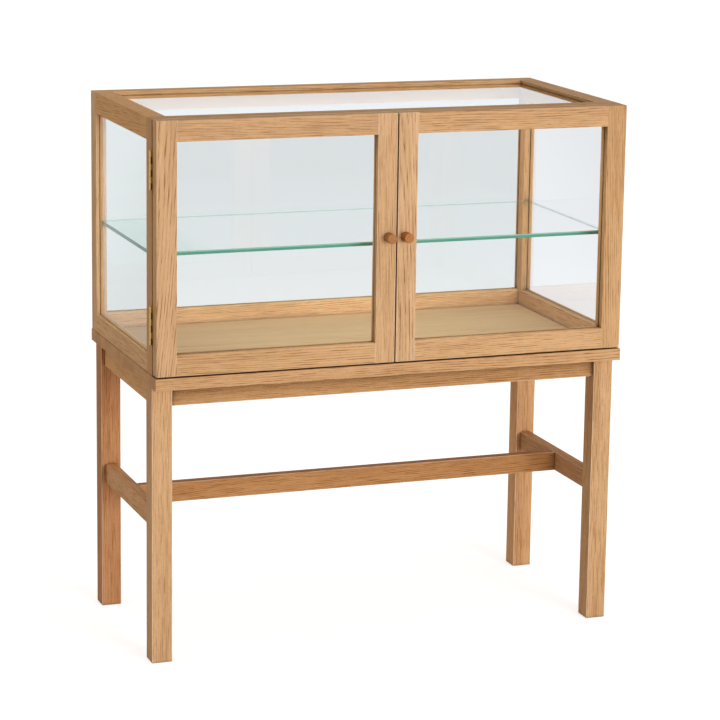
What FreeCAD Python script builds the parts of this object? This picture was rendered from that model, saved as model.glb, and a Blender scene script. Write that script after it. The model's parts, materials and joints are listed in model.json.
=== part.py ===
"""Glass display cabinet on an open stand: oak frame, glass panes, two hinged doors, one glass shelf.

Frame: millimetres, +Z up, +X to the viewer's right, the doors face -Y.
Origin: on the floor, midway between the sides and midway between the knobs' ends and the back.
"""
import FreeCAD, Part
import os
import re
import Sketcher

SIZES = {
    # base plate between the stand and the glazed case
    "base_width": 1000,
    "base_depth": 500,
    "base_thickness": 24,
    # stand
    "leg_height": 568,
    "leg_width": 42,
    "leg_depth": 42,
    "leg_end_inset": 1,
    "leg_front_inset": 32,
    "leg_rear_inset": 32,
    "apron_height": 41,
    "apron_thickness": 22,
    "apron_inset": 8,
    "stretcher_height": 41,
    "stretcher_thickness": 22,
    "stretcher_inset": 10,
    "stretcher_clearance_below": 272,
    "stand_tenon_length": 14,
    "stand_tenon_thickness": 8,
    "stand_tenon_shoulder": 6,
    # glazed case
    "case_height": 508,
    "case_end_inset": 1.5,
    "case_front_inset": 32,
    "post_width": 25,
    "post_depth": 38,
    "top_rail_width": 38,
    "top_rail_height": 44,
    "bottom_rail_thickness": 25,
    "bottom_rail_height": 37,
    "case_tenon_length": 12,
    "case_tenon_thickness": 8,
    "case_tenon_shoulder": 6,
    "case_tenon_setback": 13.5,
    "rear_tenon_setback": 3,
    "floor_thickness": 4,
    "panel_fit": 0.3,
    # fixed glass
    "pane_thickness": 4,
    "pane_inset": 7.5,
    "top_pane_drop": 8,
    "groove_depth": 7,
    "groove_fit": 0.2,
    # shelf
    "shelf_thickness": 8,
    "shelf_height": 231,
    "shelf_side_gap": 2.5,
    "shelf_end_gap": 2,
    "pin_diameter": 5,
    "pin_length": 20,
    "pin_reach": 10,
    "pin_fit": 0.1,
    "pin_side_offset": 6,
    # doors
    "door_thickness": 27,
    "door_gap": 3,
    "door_floor_gap": 3,
    "door_end_inset": 1,
    "meeting_gap": 3,
    "stile_width": 41,
    "rail_width": 42,
    "door_pane_reveal": 14,
    "door_tenon_length": 24,
    "door_tenon_thickness": 7,
    "door_tenon_setback": 4,
    "door_tenon_shoulder": 8,
    # knobs
    "knob_diameter": 20,
    "knob_length": 24,
    "knob_edge_distance": 16.5,
    "knob_height": 256,
    "knob_rounding": 1.5,
    "knob_screw_diameter": 4,
    "knob_screw_depth": 14,
    "knob_screw_head_diameter": 8,
    "knob_screw_head_height": 2.2,
    "screw_fit": 0.1,
    # butt hinges
    "hinge_length": 78,
    "hinge_end_distance": 60,
    "hinge_leaf_width": 20,
    "hinge_leaf_thickness": 1.35,
    "hinge_barrel_diameter": 6,
    "hinge_pin_diameter": 3,
    "hinge_pin_fit": 0.05,
    "hinge_knuckle_gap": 0.3,
    "hinge_barrel_gap": 0.3,
    "hinge_screw_diameter": 3,
    "hinge_screw_length": 14,
    "hinge_screw_head_diameter": 6,
    "hinge_screw_head_height": 1.2,
    "hinge_screw_line": 12,
    "hinge_screw_margin": 12,
    # magnetic catch
    "catch_width": 58,
    "catch_height": 13,
    "catch_depth": 16,
    "magnet_width": 20,
    "magnet_height": 7,
    "magnet_proud": 1.5,
    "magnet_offset": 14,
    "strike_width": 22,
    "strike_height": 12,
    "strike_thickness": 1,
    # fixing screws under the base plate
    "fixing_diameter": 5,
    "fixing_head_diameter": 10,
    "fixing_head_height": 3,
    "stand_screw_length": 46,
    "stand_screw_bite": 14,
    "stand_screw_spread": 300,
    "case_screw_length": 40,
    "case_screw_inset": 8.5,
}

# Places worked out from the sizes; each may use the ones above it.
PLACES = {
    "knob_overhang": "door_gap + door_thickness + knob_length - case_front_inset",
    "rear_edge": "(base_depth + knob_overhang) / 2",
    "front_edge": "rear_edge - base_depth",
    "base_bottom": "leg_height",
    "base_top": "base_bottom + base_thickness",
    "leg_side": "base_width / 2 - leg_end_inset",
    "leg_front": "front_edge + leg_front_inset",
    "leg_rear": "rear_edge - leg_rear_inset",
    "leg_inner": "leg_side - leg_width",
    "front_leg_back": "leg_front + leg_depth",
    "rear_leg_front": "leg_rear - leg_depth",
    "apron_bottom": "base_bottom - apron_height",
    "stretcher_top": "stretcher_clearance_below + stretcher_height",
    "stretcher_inner": "leg_side - stretcher_inset - stretcher_thickness",
    "stand_middle": "(leg_front + leg_rear) / 2",
    "case_side": "base_width / 2 - case_end_inset",
    "case_front": "front_edge + case_front_inset",
    "case_rear": "rear_edge",
    "case_top": "base_top + case_height",
    "post_inner": "case_side - post_width",
    "front_post_back": "case_front + post_depth",
    "rear_post_front": "case_rear - post_depth",
    "top_rail_bottom": "case_top - top_rail_height",
    "top_rail_inner": "case_side - top_rail_width",
    "bottom_rail_top": "base_top + bottom_rail_height",
    "bottom_rail_inner": "case_side - bottom_rail_thickness",
    "rear_rail_front": "case_rear - bottom_rail_thickness",
    "rear_tenon_front": "rear_rail_front + rear_tenon_setback",
    "side_pane_outer": "case_side - pane_inset",
    "rear_pane_outer": "case_rear - pane_inset",
    "top_pane_upper": "case_top - top_pane_drop",
    "top_pane_lower": "top_pane_upper - pane_thickness",
    "groove_width": "pane_thickness + 2 * groove_fit",
    "shelf_top": "base_top + shelf_height + shelf_thickness",
    "shelf_side": "side_pane_outer - pane_thickness - shelf_side_gap",
    "pin_side": "post_inner + pin_side_offset",
    "pin_level": "base_top + shelf_height - pin_diameter / 2",
    "door_back": "case_front - door_gap",
    "door_front": "door_back - door_thickness",
    "door_bottom": "base_top + door_floor_gap",
    "door_side": "case_side - door_end_inset",
    "door_meeting": "meeting_gap / 2",
    "door_height": "case_top - door_bottom",
    "stile_inner": "door_side - stile_width",
    "meeting_stile_outer": "door_meeting + stile_width",
    "door_rail_top": "door_bottom + rail_width",
    "door_rail_low": "case_top - rail_width",
    "knob_side": "door_meeting + knob_edge_distance",
    "knob_level": "door_bottom + knob_height",
    "hinge_axis_side": "case_side + hinge_barrel_diameter / 2",
    "hinge_axis_depth": "case_front - door_gap / 2",
    "hinge_low": "door_bottom + hinge_end_distance",
    "hinge_high": "case_top - hinge_end_distance - hinge_length",
    "hinge_screw_side": "case_side - hinge_screw_line",
    "catch_top": "top_rail_bottom",
    "magnet_level": "catch_top - catch_height / 2",
}

SIDES = (("left", False), ("right", True))
SIGNS = {"left": "-1", "right": "1"}
KNUCKLE_COUNT = 6
HINGE_SCREW_COUNT = 3
TOLERANCE = 1e-6

doc = FreeCAD.newDocument("display_cabinet")
sheet = doc.addObject("Spreadsheet::Sheet", "Sizes")
for row, (alias, value) in enumerate(SIZES.items(), start=1):
    sheet.set(f"A{row}", alias)
    sheet.set(f"B{row}", str(value))
    sheet.setAlias(f"B{row}", alias)
doc.recompute()

sub_parts = []


def bound(text):
    """Turns words from SIZES and PLACES into one expression on the sheet's cells."""
    def swap(match):
        word = match.group()
        if word in PLACES:
            return "(" + bound(PLACES[word]) + ")"
        return f"Sizes.{word}" if word in SIZES else word
    return re.sub(r"[a-z_]+", swap, str(text))


def bind(item, **properties):
    for name, text in properties.items():
        item.setExpression(name.replace("__", "."), bound(text))


def place(item, x, y, z):
    bind(item, Placement__Base__x=x, Placement__Base__y=y, Placement__Base__z=z)


class Block:
    """A box in the cabinet's frame: its low corner and its three lengths, as expressions."""

    def __init__(self, x, y, z, length, depth, height):
        self.low = (x, y, z)
        self.size = (length, depth, height)

    @staticmethod
    def between(x, y, z):
        """A box from three pairs of limits."""
        pairs = (x, y, z)
        return Block(*[low for low, _ in pairs], *[f"({high}) - ({low})" for low, high in pairs])

    def mirrored(self):
        """The same box on the other side of the cabinet."""
        x, y, z = self.low
        return Block(f"-({x}) - ({self.size[0]})", y, z, *self.size)


class Bore:
    """A round hole: start point, direction (-Y, +Y, -Z or +Z), diameter and depth."""

    def __init__(self, x, y, z, direction, diameter, depth):
        self.start = (x, y, z)
        self.direction = direction
        self.diameter = diameter
        self.depth = depth

    def mirrored(self):
        x, y, z = self.start
        return Bore(f"-({x})", y, z, self.direction, self.diameter, self.depth)


TURNS = {
    "+Z": FreeCAD.Rotation(),
    "-Z": FreeCAD.Rotation(FreeCAD.Vector(1, 0, 0), 180),
    "-Y": FreeCAD.Rotation(FreeCAD.Vector(1, 0, 0), 90),
    "+Y": FreeCAD.Rotation(FreeCAD.Vector(1, 0, 0), -90),
}


def origin_plane(body, role):
    return next(item for item in body.Origin.OriginFeatures if item.Role == role)


def new_sketch(body, role, name):
    sketch = body.newObject("Sketcher::SketchObject", name)
    sketch.AttachmentSupport = [(origin_plane(body, role), "")]
    sketch.MapMode = "FlatFace"
    return sketch


def add_rectangle(sketch, low_x, low_y, high_x, high_y):
    """A rectangle whose two corners are bound to expressions."""
    corners = [FreeCAD.Vector(x, y) for x, y in ((0, 0), (1, 0), (1, 1), (0, 1))]
    first = sketch.GeometryCount
    for i in range(4):
        sketch.addGeometry(Part.LineSegment(corners[i], corners[(i + 1) % 4]))
    for i in range(4):
        sketch.addConstraint(Sketcher.Constraint("Coincident", first + i, 2, first + (i + 1) % 4, 1))
    for i in (0, 2):
        sketch.addConstraint(Sketcher.Constraint("Horizontal", first + i))
        sketch.addConstraint(Sketcher.Constraint("Vertical", first + i + 1))
    places = (("DistanceX", 0, low_x), ("DistanceY", 0, low_y),
              ("DistanceX", 2, high_x), ("DistanceY", 2, high_y))
    for kind, corner, text in places:
        start = corners[corner]
        value = start.x if kind == "DistanceX" else start.y
        number = sketch.addConstraint(Sketcher.Constraint(kind, -1, 1, first + corner, 1, value))
        sketch.setExpression(f"Constraints[{number}]", bound(text))


def add_circle(sketch, diameter):
    """A circle round the sketch's origin."""
    circle = sketch.addGeometry(Part.Circle(FreeCAD.Vector(), FreeCAD.Vector(0, 0, 1), 1))
    sketch.addConstraint(Sketcher.Constraint("Coincident", circle, 3, -1, 1))
    number = sketch.addConstraint(Sketcher.Constraint("Diameter", circle, 2))
    sketch.setExpression(f"Constraints[{number}]", bound(diameter))


def add_pad(body, sketch, length):
    pad = body.newObject("PartDesign::Pad", "Pad")
    pad.Profile = sketch
    bind(pad, Length=length)
    sketch.Visibility = False
    return pad


def new_body(label):
    body = doc.addObject("PartDesign::Body", label)
    body.Label = label
    sub_parts.append(body)
    return body


def local_low(block, body_low):
    return [f"({a}) - ({b})" for a, b in zip(block.low, body_low)]


def add_box(body, kind, block, body_low):
    box = body.newObject(f"PartDesign::{kind}Box", kind)
    length, depth, height = block.size
    bind(box, Length=length, Width=depth, Height=height)
    place(box, *local_low(block, body_low))


def add_bore(body, bore, body_low):
    hole = body.newObject("PartDesign::SubtractiveCylinder", "Bore")
    bind(hole, Radius=f"({bore.diameter}) / 2", Height=bore.depth)
    hole.Placement = FreeCAD.Placement(FreeCAD.Vector(), TURNS[bore.direction])
    place(hole, *[f"({a}) - ({b})" for a, b in zip(bore.start, body_low)])


def member(label, blank, tenons=(), cuts=(), bores=(), flip=False):
    """One piece of timber or glass: a padded blank with tenons, grooves, mortises and bores."""
    if flip:
        blank = blank.mirrored()
        tenons = [item.mirrored() for item in tenons]
        cuts = [item.mirrored() for item in cuts]
        bores = [item.mirrored() for item in bores]
    body = new_body(label)
    place(body, *blank.low)
    sketch = new_sketch(body, "XY_Plane", "Outline")
    add_rectangle(sketch, "0", "0", blank.size[0], blank.size[1])
    add_pad(body, sketch, blank.size[2])
    for tenon in tenons:
        add_box(body, "Additive", tenon, blank.low)
    for cut in cuts:
        add_box(body, "Subtractive", cut, blank.low)
    for bore in bores:
        add_bore(body, bore, blank.low)
    return body


def solid_of(kind, label, turn=None, at=(0, 0, 0), **sizes):
    """A Part primitive turned and placed by expressions."""
    item = doc.addObject(f"Part::{kind}", label)
    bind(item, **sizes)
    if turn:
        item.Placement = FreeCAD.Placement(FreeCAD.Vector(), TURNS[turn])
    place(item, *at)
    return item


def group(label, members):
    """Identical small pieces kept as separate solids under one name."""
    compound = doc.addObject("Part::Compound", label)
    compound.Label = label
    compound.Links = members
    sub_parts.append(compound)
    return compound


def along(point, direction, distance):
    """The expression point moved by a distance along a direction such as -Y."""
    moved = list(point)
    axis = "XYZ".index(direction[1])
    moved[axis] = f"({point[axis]}) {direction[0]} ({distance})"
    return moved


def screw(label, head_face, direction, length, diameter, head_diameter, head_height, countersunk=True):
    """A screw whose head's outer face lies at head_face and whose shank runs along direction."""
    shank = solid_of("Cylinder", f"{label}_shank", direction, along(head_face, direction, head_height),
                     Radius=f"({diameter}) / 2", Height=f"({length}) - ({head_height})")
    if countersunk:
        head = solid_of("Cone", f"{label}_head", direction, head_face, Radius1=f"({head_diameter}) / 2",
                        Radius2=f"({diameter}) / 2", Height=head_height)
    else:
        head = solid_of("Cylinder", f"{label}_head", direction, head_face,
                        Radius=f"({head_diameter}) / 2", Height=head_height)
    whole = doc.addObject("Part::MultiFuse", label)
    whole.Shapes = [shank, head]
    return whole


def left(text):
    """The same distance on the left side of the cabinet, where X is negative."""
    return f"-({text})"


def hinge_screw_levels(low):
    """Heights of the screws in one hinge whose lower end is at low."""
    pitch = f"(hinge_length - 2 * hinge_screw_margin) / {HINGE_SCREW_COUNT - 1}"
    return [f"{low} + hinge_screw_margin + {i} * {pitch}" for i in range(HINGE_SCREW_COUNT)]


HINGE_LEVELS = hinge_screw_levels("hinge_low") + hinge_screw_levels("hinge_high")
HINGE_BORE = "hinge_screw_diameter + 2 * screw_fit"
HINGE_BORE_DEPTH = "hinge_screw_length - hinge_leaf_thickness"


# Stand: four legs with mortises, four aprons, two side stretchers and the long one between them.
def apron_z():
    return ("apron_bottom + stand_tenon_shoulder", "base_bottom - stand_tenon_shoulder")


def stretcher_z():
    return ("stretcher_clearance_below + stand_tenon_shoulder", "stretcher_top - stand_tenon_shoulder")


def centred(low, thickness, tenon_thickness):
    """Limits of a tenon in the middle of a rail's thickness."""
    start = f"{low} + ({thickness} - {tenon_thickness}) / 2"
    return (start, f"{start} + {tenon_thickness}")


LEFT_APRON_X = "-leg_side + apron_inset"
LEFT_STRETCHER_X = "-leg_side + stretcher_inset"
APRON_TENON_X = centred(LEFT_APRON_X, "apron_thickness", "stand_tenon_thickness")
STRETCHER_TENON_X = centred(LEFT_STRETCHER_X, "stretcher_thickness", "stand_tenon_thickness")
APRON_Y = {
    "front": "leg_front + apron_inset",
    "rear": "leg_rear - apron_inset - apron_thickness",
}
LEG_Y = {"front": "leg_front", "rear": "rear_leg_front"}


def side_rail_tenons(x_limits, z_limits):
    """Tenons at both ends of a rail that runs from the front leg to the rear leg."""
    front = Block.between(x_limits, ("front_leg_back - stand_tenon_length", "front_leg_back"), z_limits)
    rear = Block.between(x_limits, ("rear_leg_front", "rear_leg_front + stand_tenon_length"), z_limits)
    return {"front": front, "rear": rear}


def cross_apron_tenons(end):
    y_limits = centred(APRON_Y[end], "apron_thickness", "stand_tenon_thickness")
    low = Block.between(("-leg_inner - stand_tenon_length", "-leg_inner"), y_limits, apron_z())
    return [low, low.mirrored()]


SIDE_APRON_TENONS = side_rail_tenons(APRON_TENON_X, apron_z())
SIDE_STRETCHER_TENONS = side_rail_tenons(STRETCHER_TENON_X, stretcher_z())
LONG_TENON = Block.between(
    ("-stretcher_inner - stand_tenon_length", "-stretcher_inner"),
    centred("stand_middle - stretcher_thickness / 2", "stretcher_thickness", "stand_tenon_thickness"),
    stretcher_z(),
)

for end in ("front", "rear"):
    for side, flip in SIDES:
        member(
            f"leg_{end}_{side}",
            Block("-leg_side", LEG_Y[end], "0", "leg_width", "leg_depth", "leg_height"),
            cuts=[SIDE_APRON_TENONS[end], SIDE_STRETCHER_TENONS[end], cross_apron_tenons(end)[0]],
            flip=flip,
        )

STAND_SCREW_XY = {
    end: [(f"{sign} * stand_screw_spread", f"{APRON_Y[end]} + apron_thickness / 2")
          for sign in SIGNS.values()]
    for end in ("front", "rear")
}
STAND_SCREW_FACE = "base_bottom + stand_screw_bite - stand_screw_length"
STAND_BORE = "fixing_diameter + 2 * screw_fit"
STAND_HEAD_BORE = "fixing_head_diameter + 2 * screw_fit"

for end in ("front", "rear"):
    bores = []
    for x, y in STAND_SCREW_XY[end]:
        head_depth = f"{STAND_SCREW_FACE} + fixing_head_height - (apron_bottom)"
        bores.append(Bore(x, y, "apron_bottom", "+Z", STAND_HEAD_BORE, head_depth))
        bores.append(Bore(x, y, "apron_bottom", "+Z", STAND_BORE, "apron_height"))
    member(
        f"apron_{end}",
        Block.between(("-leg_inner", "leg_inner"), (APRON_Y[end], f"{APRON_Y[end]} + apron_thickness"),
                      ("apron_bottom", "base_bottom")),
        tenons=cross_apron_tenons(end),
        bores=bores,
    )

for side, flip in SIDES:
    member(
        f"apron_{side}",
        Block.between((LEFT_APRON_X, f"{LEFT_APRON_X} + apron_thickness"),
                      ("front_leg_back", "rear_leg_front"), ("apron_bottom", "base_bottom")),
        tenons=list(SIDE_APRON_TENONS.values()),
        flip=flip,
    )
    member(
        f"stretcher_{side}",
        Block.between((LEFT_STRETCHER_X, "-stretcher_inner"), ("front_leg_back", "rear_leg_front"),
                      ("stretcher_clearance_below", "stretcher_top")),
        tenons=list(SIDE_STRETCHER_TENONS.values()),
        cuts=[LONG_TENON],
        flip=flip,
    )

member(
    "stretcher_long",
    Block.between(("-stretcher_inner", "stretcher_inner"),
                  ("stand_middle - stretcher_thickness / 2", "stand_middle + stretcher_thickness / 2"),
                  ("stretcher_clearance_below", "stretcher_top")),
    tenons=[LONG_TENON, LONG_TENON.mirrored()],
)

# Base plate, with pilot bores from the stand below and clearance bores up into the posts.
CASE_SCREW_XY = [
    (f"{sign} * (case_side - case_screw_inset)", y)
    for y in ("case_front + post_depth / 2", "case_rear - post_depth / 2") for sign in SIGNS.values()
]
CASE_SCREW_FACE = "base_bottom + fixing_head_height"
base_bores = [Bore(x, y, "base_bottom", "+Z", STAND_BORE, "stand_screw_bite + screw_fit")
              for x, y in STAND_SCREW_XY["front"] + STAND_SCREW_XY["rear"]]
for x, y in CASE_SCREW_XY:
    base_bores.append(Bore(x, y, "base_bottom", "+Z", STAND_HEAD_BORE, "2 * fixing_head_height"))
    base_bores.append(Bore(x, y, "base_bottom", "+Z", STAND_BORE, "base_thickness"))
member(
    "base_plate",
    Block("-base_width / 2", "front_edge", "base_bottom", "base_width", "base_depth", "base_thickness"),
    bores=base_bores,
)
member(
    "floor_panel",
    Block.between(("-bottom_rail_inner + panel_fit", "bottom_rail_inner - panel_fit"),
                  ("case_front", "rear_rail_front - panel_fit"), ("base_top", "base_top + floor_thickness")),
)

# Fixed glass, kept as limits so that the grooves follow the panes.
SIDE_PANE_X = ("-side_pane_outer", "-side_pane_outer + pane_thickness")
REAR_PANE_Y = ("rear_pane_outer - pane_thickness", "rear_pane_outer")
TOP_PANE_Z = ("top_pane_lower", "top_pane_upper")


def grooved(limits):
    """A pane's thickness limits widened by the groove's fit."""
    return (f"{limits[0]} - groove_fit", f"{limits[1]} + groove_fit")


def into(limits, depth):
    """Limits carried past both ends by a depth."""
    return (f"{limits[0]} - ({depth})", f"{limits[1]} + ({depth})")


def standing(limits):
    """A pane's heights: it stands on the bottom of its groove and has the fit above it."""
    return (f"{limits[0]} - groove_depth", f"{limits[1]} + {PANE_EDGE}")


PANE_EDGE = "groove_depth - groove_fit"
CASE_OPENING_Y = ("front_post_back", "rear_post_front")
CASE_OPENING_X = ("-post_inner", "post_inner")
CASE_OPENING_Z = ("bottom_rail_top", "top_rail_bottom")
TOP_OPENING_X = ("-top_rail_inner", "top_rail_inner")

SIDE_GROOVE = Block.between(grooved(SIDE_PANE_X), into(CASE_OPENING_Y, "groove_depth"),
                            into(CASE_OPENING_Z, "groove_depth"))
REAR_GROOVE = Block.between(into(CASE_OPENING_X, "groove_depth"), grooved(REAR_PANE_Y),
                            into(CASE_OPENING_Z, "groove_depth"))
TOP_GROOVE = Block.between(into(TOP_OPENING_X, "groove_depth"), into(CASE_OPENING_Y, "groove_depth"),
                           (TOP_PANE_Z[0], f"{TOP_PANE_Z[1]} + groove_fit"))

# Tenons of the case rails: side rails run front to rear, the others left to right.
CASE_TENON_X = ("-case_side + case_tenon_setback", "-case_side + case_tenon_setback + case_tenon_thickness")
FRONT_TENON_Y = centred("case_front", "post_depth", "case_tenon_thickness")
REAR_TENON_Y = ("rear_tenon_front", "rear_tenon_front + case_tenon_thickness")
TOP_TENON_Z = ("top_rail_bottom + case_tenon_shoulder", "top_pane_lower - case_tenon_shoulder")
BOTTOM_TENON_Z = ("base_top + case_tenon_shoulder", "bottom_rail_top - groove_depth - case_tenon_shoulder")


def side_tenons(z_limits):
    front = Block.between(CASE_TENON_X, ("front_post_back - case_tenon_length", "front_post_back"), z_limits)
    rear = Block.between(CASE_TENON_X, ("rear_post_front", "rear_post_front + case_tenon_length"), z_limits)
    return {"front": front, "rear": rear}


def cross_tenon(y_limits, z_limits):
    return Block.between(("-post_inner - case_tenon_length", "-post_inner"), y_limits, z_limits)


TOP_SIDE_TENONS = side_tenons(TOP_TENON_Z)
BOTTOM_SIDE_TENONS = side_tenons(BOTTOM_TENON_Z)
CROSS_TENONS = {
    "front": [cross_tenon(FRONT_TENON_Y, TOP_TENON_Z)],
    "rear": [cross_tenon(REAR_TENON_Y, TOP_TENON_Z), cross_tenon(REAR_TENON_Y, BOTTOM_TENON_Z)],
}
POST_Y = {"front": "case_front", "rear": "rear_post_front"}
PIN_Y = {"front": ("front_post_back", "-Y"), "rear": ("rear_post_front", "+Y")}
PIN_SEAT = "pin_length - pin_reach"

for end in ("front", "rear"):
    pin_face, pin_direction = PIN_Y[end]
    bores = [
        Bore(left("pin_side"), pin_face, "pin_level", pin_direction, "pin_diameter + 2 * pin_fit", PIN_SEAT),
        Bore(left("case_side - case_screw_inset"), f"{POST_Y[end]} + post_depth / 2", "base_top", "+Z",
             STAND_BORE, "case_screw_length"),
    ]
    if end == "front":
        bores += [Bore(left("hinge_screw_side"), "case_front", level, "+Y", HINGE_BORE, HINGE_BORE_DEPTH)
                  for level in HINGE_LEVELS]
    grooves = [SIDE_GROOVE] if end == "front" else [SIDE_GROOVE, REAR_GROOVE]
    for side, flip in SIDES:
        member(
            f"post_{end}_{side}",
            Block("-case_side", POST_Y[end], "base_top", "post_width", "post_depth", "case_height"),
            cuts=[TOP_SIDE_TENONS[end], BOTTOM_SIDE_TENONS[end]] + CROSS_TENONS[end] + grooves,
            bores=bores,
            flip=flip,
        )

TOP_RAIL_Y = {"front": ("case_front", "front_post_back"), "rear": ("rear_post_front", "case_rear")}
for end, y_limits in TOP_RAIL_Y.items():
    tenon = CROSS_TENONS[end][0]
    member(
        f"top_rail_{end}",
        Block.between(CASE_OPENING_X, y_limits, ("top_rail_bottom", "case_top")),
        tenons=[tenon, tenon.mirrored()],
        cuts=[TOP_GROOVE] + ([REAR_GROOVE] if end == "rear" else []),
    )

for side, flip in SIDES:
    member(
        f"top_rail_{side}",
        Block.between(("-case_side", "-top_rail_inner"), CASE_OPENING_Y, ("top_rail_bottom", "case_top")),
        tenons=list(TOP_SIDE_TENONS.values()),
        cuts=[TOP_GROOVE, SIDE_GROOVE],
        flip=flip,
    )
    member(
        f"bottom_rail_{side}",
        Block.between(("-case_side", "-bottom_rail_inner"), CASE_OPENING_Y, ("base_top", "bottom_rail_top")),
        tenons=list(BOTTOM_SIDE_TENONS.values()),
        cuts=[SIDE_GROOVE],
        flip=flip,
    )

member(
    "bottom_rail_rear",
    Block.between(CASE_OPENING_X, ("rear_rail_front", "case_rear"), ("base_top", "bottom_rail_top")),
    tenons=[CROSS_TENONS["rear"][1], CROSS_TENONS["rear"][1].mirrored()],
    cuts=[REAR_GROOVE],
)

for side, flip in SIDES:
    member(
        f"glass_{side}",
        Block.between(SIDE_PANE_X, into(CASE_OPENING_Y, PANE_EDGE), standing(CASE_OPENING_Z)),
        flip=flip,
    )
member(
    "glass_rear",
    Block.between(into(CASE_OPENING_X, PANE_EDGE), REAR_PANE_Y, standing(CASE_OPENING_Z)),
)
member(
    "glass_top",
    Block.between(into(TOP_OPENING_X, PANE_EDGE), into(CASE_OPENING_Y, PANE_EDGE), TOP_PANE_Z),
)

# Shelf and the four pins that carry it.
member(
    "glass_shelf",
    Block.between((left("shelf_side"), "shelf_side"),
                  ("front_post_back + shelf_end_gap", "rear_post_front - shelf_end_gap"),
                  ("shelf_top - shelf_thickness", "shelf_top")),
)
pins = []
for end in ("front", "rear"):
    pin_face, pin_direction = PIN_Y[end]
    for sign in SIGNS.values():
        start = along((f"{sign} * (pin_side)", pin_face, "pin_level"), pin_direction, PIN_SEAT)
        back = "+Y" if pin_direction == "-Y" else "-Y"
        pins.append(solid_of("Cylinder", f"pin_{len(pins) + 1}", back, start,
                             Radius="pin_diameter / 2", Height="pin_length"))
group("shelf_pins", pins)

# Doors: two stiles, two rails with tenons, a pane in grooves, a turned knob and its screw.
DOOR_PANE_Y = ("door_front + door_pane_reveal", "door_front + door_pane_reveal + pane_thickness")
DOOR_TENON_Y = ("door_front + door_tenon_setback", "door_front + door_tenon_setback + door_tenon_thickness")
DOOR_OPENING_X = ("-stile_inner", "-meeting_stile_outer")
DOOR_OPENING_Z = ("door_rail_top", "door_rail_low")
DOOR_GROOVE = Block.between(into(DOOR_OPENING_X, "groove_depth"), grooved(DOOR_PANE_Y),
                            into(DOOR_OPENING_Z, "groove_depth"))
DOOR_RAIL_Z = {"bottom": ("door_bottom", "door_rail_top"), "top": ("door_rail_low", "case_top")}


def door_tenons(z_limits):
    z_inner = (f"{z_limits[0]} + door_tenon_shoulder", f"{z_limits[1]} - door_tenon_shoulder")
    hinge_end = Block.between(("-stile_inner - door_tenon_length", "-stile_inner"), DOOR_TENON_Y, z_inner)
    meeting_end = Block.between(("-meeting_stile_outer", "-meeting_stile_outer + door_tenon_length"),
                                DOOR_TENON_Y, z_inner)
    return {"hinge": hinge_end, "meeting": meeting_end}


DOOR_TENONS = {name: door_tenons(limits) for name, limits in DOOR_RAIL_Z.items()}
DOOR_Y = ("door_front", "door_back")
DOOR_Z = ("door_bottom", "case_top")
KNOB_BORE = "knob_screw_diameter + 2 * screw_fit"

for side, flip in SIDES:
    member(
        f"door_{side}_hinge_stile",
        Block.between((left("door_side"), left("stile_inner")), DOOR_Y, DOOR_Z),
        cuts=[DOOR_TENONS["bottom"]["hinge"], DOOR_TENONS["top"]["hinge"], DOOR_GROOVE],
        bores=[Bore(left("hinge_screw_side"), "door_back", level, "-Y", HINGE_BORE, HINGE_BORE_DEPTH)
               for level in HINGE_LEVELS],
        flip=flip,
    )
    member(
        f"door_{side}_meeting_stile",
        Block.between((left("meeting_stile_outer"), left("door_meeting")), DOOR_Y, DOOR_Z),
        cuts=[DOOR_TENONS["bottom"]["meeting"], DOOR_TENONS["top"]["meeting"], DOOR_GROOVE],
        bores=[Bore(left("knob_side"), "door_back", "knob_level", "-Y", KNOB_BORE, "door_thickness")],
        flip=flip,
    )
    for rail, limits in DOOR_RAIL_Z.items():
        member(
            f"door_{side}_{rail}_rail",
            Block.between(DOOR_OPENING_X, DOOR_Y, limits),
            tenons=list(DOOR_TENONS[rail].values()),
            cuts=[DOOR_GROOVE],
            flip=flip,
        )
    member(
        f"door_{side}_glass",
        Block.between(into(DOOR_OPENING_X, PANE_EDGE), DOOR_PANE_Y, standing(DOOR_OPENING_Z)),
        flip=flip,
    )


def front_rim(shape, outer_radius):
    """Name of the round edge at the knob's outer end."""
    for number, edge in enumerate(shape.Edges, start=1):
        is_rim = isinstance(edge.Curve, Part.Circle) and abs(edge.Curve.Radius - outer_radius) < TOLERANCE
        if is_rim and edge.CenterOfMass.y < -TOLERANCE:
            return f"Edge{number}"
    raise RuntimeError("the knob has no front rim")


def knob(side, sign):
    """A plain turned dowel with an eased front rim and a blind bore for its screw."""
    body = new_body(f"door_{side}_knob")
    place(body, f"{sign} * (knob_side)", "door_front", "knob_level")
    sketch = new_sketch(body, "XZ_Plane", "Round")
    add_circle(sketch, "knob_diameter")
    turned = add_pad(body, sketch, "knob_length")
    doc.recompute()
    rounding = body.newObject("PartDesign::Fillet", "Eased")
    rounding.Base = (turned, [front_rim(turned.Shape, sheet.knob_diameter / 2)])
    bind(rounding, Radius="knob_rounding")
    hole = body.newObject("PartDesign::SubtractiveCylinder", "Bore")
    bind(hole, Radius=f"({KNOB_BORE}) / 2", Height="knob_screw_depth + screw_fit")
    hole.Placement = FreeCAD.Placement(FreeCAD.Vector(), TURNS["-Y"])


for side, sign in SIGNS.items():
    knob(side, sign)
    head_face = (f"{sign} * (knob_side)", "door_back + knob_screw_head_height", "knob_level")
    fixing = screw(f"door_{side}_knob_screw", head_face, "-Y",
                   "knob_screw_head_height + door_thickness + knob_screw_depth", "knob_screw_diameter",
                   "knob_screw_head_diameter", "knob_screw_head_height", countersunk=False)
    sub_parts.append(fixing)


# Butt hinges: interleaved knuckles on one pin, one leaf on the post and one on the door.
KNUCKLE = f"hinge_length / {KNUCKLE_COUNT}"
BARREL_RADIUS = "hinge_barrel_diameter / 2"
BORE_DIAMETER = "hinge_pin_diameter + 2 * hinge_pin_fit"
LEAF_FACE = "door_gap / 2 - hinge_leaf_thickness"


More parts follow.
